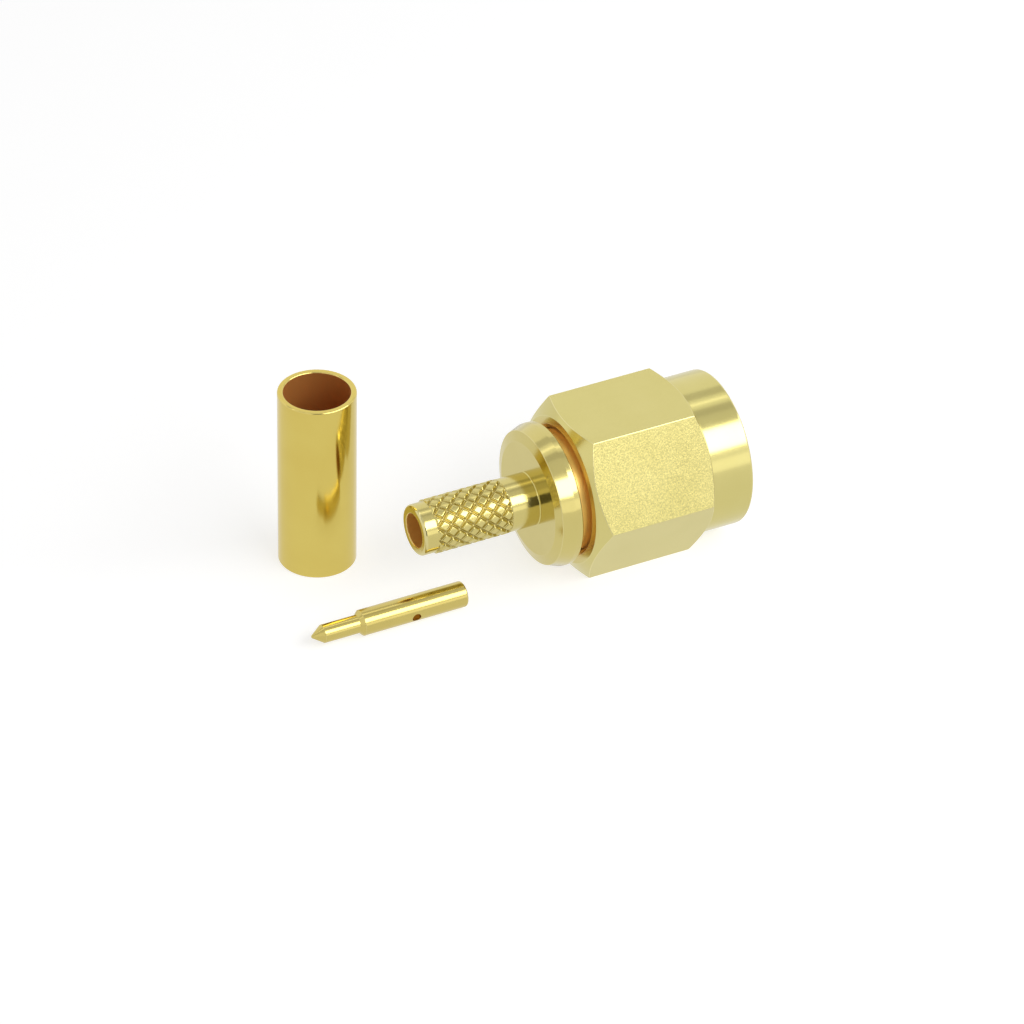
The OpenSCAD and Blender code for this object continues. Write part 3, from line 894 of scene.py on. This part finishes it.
studio = {
    "aimOffset": Vector((2.452, 3.065, -4.875)) * mm, "azimuth": -27.9, "elevation": 35.2,
    "distance": 0.300, "lens": 211.9, "sensor": 36, "roll": 1.2, "clip": (0.01, 20),
    "softbox": {"lean": 43.9, "side": 0.45, "away": 0.20, "size": (0.26, 0.0968),
                "level": 3.3},
    "floor": 0.52, "floorGrain": 0.01, "floorScale": 300.0, "floorReach": 6.0,
    "mirroredFloor": 0.16, "floorGlow": 0.79, "floorWhite": 0.68, "skyLight": 0.36,
    "cards": {
        "topCard": {"leans": (-6, 6), "level": 0.62},
        "paleTopCard": {"leans": (6.2, 30.5), "level": 0.76},
        "backCard": {"leans": (-38, -24), "level": 0.68},
        "brightStrip": {"leans": (-17.5, -13), "level": 1.65},
        "frontCard": {"leans": (72, 89), "level": 1.35, "away": 0.6, "fromX": 0.05},
        "lowDarkCard": {"leans": (50, 91), "level": 0.12, "away": 0.5, "fromX": -0.36,
                        "toX": -0.08},
    },
}
aim = (cadLow + cadHigh) / 2 + studio["aimOffset"]


def stagePlane(name, corners, material):
    mesh = bpy.data.meshes.new(name)
    mesh.from_pydata(corners, [], [(0, 1, 2, 3)])
    mesh.materials.append(material)
    plane = newObject(name, mesh)
    return plane


def grey(level):
    return level, level, level, 1


def floorFinish():
    # the camera sees white paper with soft shadows; mirrored rays see an even glow instead
    material, tree = newMaterial("studioFloor")
    spot = addNode(tree, "ShaderNodeTexCoord").outputs["Object"]
    paper = noiseNode(tree, {"Vector": spot, "Scale": studio["floorScale"]})
    tone = mixTones(tree, paper, grey(studio["floor"]),
                    grey(studio["floor"] + studio["floorGrain"]))
    rays = addNode(tree, "ShaderNodeLightPath").outputs
    mirrored = mathNode(tree, "MAXIMUM", rays["Is Glossy Ray"], rays["Is Transmission Ray"])
    dimmed = mixTones(tree, mirrored, tone, grey(studio["mirroredFloor"]))
    matt = addNode(tree, "ShaderNodeBsdfDiffuse", {"Color": dimmed})
    mirrorGlow = mathNode(tree, "MULTIPLY", mirrored, studio["floorGlow"])
    glow = addNode(tree, "ShaderNodeEmission", {
        "Strength": mathNode(tree, "MULTIPLY_ADD", rays["Is Camera Ray"],
                             studio["floorWhite"], mirrorGlow)})
    both = addNode(tree, "ShaderNodeAddShader", {0: matt.outputs[0], 1: glow.outputs[0]})
    addNode(tree, "ShaderNodeOutputMaterial", {"Surface": both.outputs[0]})
    return material


def cardFinish(level):
    material, tree = newMaterial("greyCard")
    glow = addNode(tree, "ShaderNodeEmission", {"Strength": level})
    addNode(tree, "ShaderNodeOutputMaterial", {"Surface": glow.outputs[0]})
    return material


def hangCard(name, leans, level, away=0.3, fromX=-0.5, toX=0.5):
    # a card along the X axis, seen only in reflections
    # its leans are degrees from straight up towards -Y
    low, high = [acrossX(math.radians(lean)) * away for lean in leans]
    corners = [aim + edge + Vector((x, 0, 0))
               for edge, x in ((low, fromX), (low, toX), (high, toX), (high, fromX))]
    card = stagePlane(name, corners, cardFinish(level))
    card.visible_camera = card.visible_diffuse = card.visible_shadow = False


def hangSoftbox(box):
    lean = math.radians(box["lean"])
    toward = Vector((box["side"], -math.sin(lean), math.cos(lean))).normalized()
    lamp = bpy.data.lights.new("softbox", "AREA")
    lamp.shape = "RECTANGLE"
    lamp.size, lamp.size_y = box["size"]
    lamp.energy = box["level"] * math.pi * lamp.size * lamp.size_y
    holder = newObject("softbox", lamp)
    holder.location = aim + toward * box["away"]
    holder.rotation_mode = "QUATERNION"
    holder.rotation_quaternion = (-toward).to_track_quat("-Z", "Y")
    holder.visible_camera = False


def makeWorld():
    # white to the eye and in reflections, dimmer as a light
    world = bpy.data.worlds.new("studioWorld")
    world.use_nodes = True
    tree = world.node_tree
    tree.nodes.clear()
    rays = addNode(tree, "ShaderNodeLightPath").outputs
    shown = mathNode(tree, "MAXIMUM", rays["Is Camera Ray"], rays["Is Glossy Ray"])
    shown = mathNode(tree, "MAXIMUM", shown, rays["Is Transmission Ray"])
    sky = addNode(tree, "ShaderNodeBackground", {
        "Color": (1, 1, 1, 1), "Strength": mixValues(tree, shown, studio["skyLight"], 1.0)})
    addNode(tree, "ShaderNodeOutputWorld", {"Surface": sky.outputs[0]})
    return world


def makeCamera():
    az, el = math.radians(studio["azimuth"]), math.radians(studio["elevation"])
    back = Vector((math.sin(az) * math.cos(el), -math.cos(az) * math.cos(el), math.sin(el)))
    lens = bpy.data.cameras.new("camera")
    lens.lens, lens.sensor_width = studio["lens"], studio["sensor"]
    lens.clip_start, lens.clip_end = studio["clip"]
    camera = newObject("camera", lens)
    camera.location = aim + back * studio["distance"]
    camera.rotation_mode = "QUATERNION"
    roll = Matrix.Rotation(math.radians(studio["roll"]), 3, "Z").to_quaternion()
    camera.rotation_quaternion = (-back).to_track_quat("-Z", "Y") @ roll
    return camera


floorReach = studio["floorReach"]
stagePlane("studioFloor", [(x * floorReach, y * floorReach, cadLow.z)
                           for x, y in ((-1, -1), (1, -1), (1, 1), (-1, 1))], floorFinish())
for cardName, card in studio["cards"].items():
    hangCard(cardName, **card)
hangSoftbox(studio["softbox"])
bpy.context.scene.world = makeWorld()
bpy.context.scene.camera = makeCamera()
bpy.context.scene.view_settings.view_transform = "Standard"
print("scene: floor, light and camera set")
